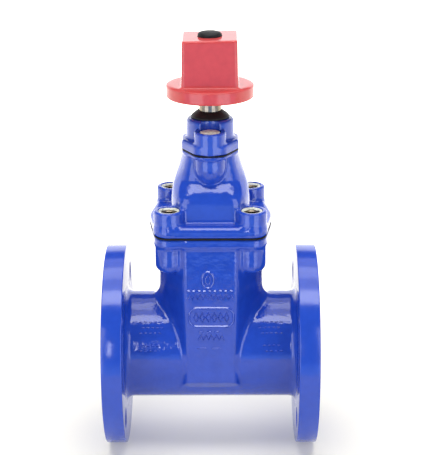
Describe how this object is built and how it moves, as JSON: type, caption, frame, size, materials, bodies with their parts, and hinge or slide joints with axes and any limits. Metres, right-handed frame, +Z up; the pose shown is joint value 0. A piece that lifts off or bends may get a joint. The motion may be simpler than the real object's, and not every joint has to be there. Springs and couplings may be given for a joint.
{
  "type": "gate valve",
  "caption": "Resilient-seated flanged gate valve with a non-rising stem: turning the square cap lifts or lowers a rubber-covered wedge across the bore.",
  "frame": {"origin": "on the floor under the middle of the valve, which stands on the rims of its flanges", "axes": "+Z up the stem, X along the pipe from inlet to outlet, -Y the front with the flat panel"},
  "size_m": [0.2032, 0.1906, 0.3994],
  "materials": {
    "blue_epoxy": "glossy blue fusion-bonded epoxy on cast iron, with a slight orange peel",
    "red_epoxy": "semi-gloss red epoxy on cast iron, slightly rough",
    "black_rubber": "matt black moulded rubber",
    "sealing_wax": "tan hot-melt sealing wax with a dull skin",
    "nylon": "natural off-white engineering plastic",
    "brass": "machined brass",
    "stainless_steel": "turned stainless steel",
    "ductile_iron": "bare ductile iron casting"
  },
  "bodies": {
    "housing": {"valve_body": "blue_epoxy", "bonnet_gasket": "black_rubber", "bonnet": "blue_epoxy", "bonnet_screw_front_left": "stainless_steel", "bonnet_screw_front_right": "stainless_steel", "bonnet_screw_rear_left": "stainless_steel", "bonnet_screw_rear_right": "stainless_steel", "bonnet_screw_seal_front_left": "sealing_wax", "bonnet_screw_seal_front_right": "sealing_wax", "bonnet_screw_seal_rear_left": "sealing_wax", "bonnet_screw_seal_rear_right": "sealing_wax", "gland_gasket": "black_rubber", "gland": "blue_epoxy", "gland_screw_front": "stainless_steel", "gland_screw_rear": "stainless_steel", "gland_screw_seal_front": "sealing_wax", "gland_screw_seal_rear": "sealing_wax", "seal_bush": "brass", "stem_o_ring_1": "black_rubber", "stem_o_ring_2": "black_rubber", "stem_o_ring_3": "black_rubber", "bush_o_ring_1": "black_rubber", "bush_o_ring_2": "black_rubber", "lower_thrust_washer": "nylon", "upper_thrust_washer": "nylon", "dust_guard": "black_rubber"},
    "stem_set": {"stem": "stainless_steel", "stem_cap": "red_epoxy", "cap_washer": "stainless_steel", "cap_bolt": "stainless_steel", "cap_plug": "black_rubber"},
    "gate": {"wedge_core": "ductile_iron", "wedge_rubber": "black_rubber", "wedge_guide_front": "nylon", "wedge_guide_rear": "nylon", "stem_nut": "brass"}
  },
  "joints": [
    {"name": "stem_turn", "type": "hinge", "parent": "housing", "child": "stem_set", "pos_m": [0, 0, 0.33], "axis": [0, 0, 1], "range_deg": [0, 5904]},
    {"name": "wedge_lift", "type": "slide", "parent": "housing", "child": "gate", "axis": [0, 0, 1], "range_m": [0, 0.082]}
  ],
  "couplings": [
    {"joint": "wedge_lift", "follows": "stem_turn", "m_per_rad": 0.00079577}
  ]
}
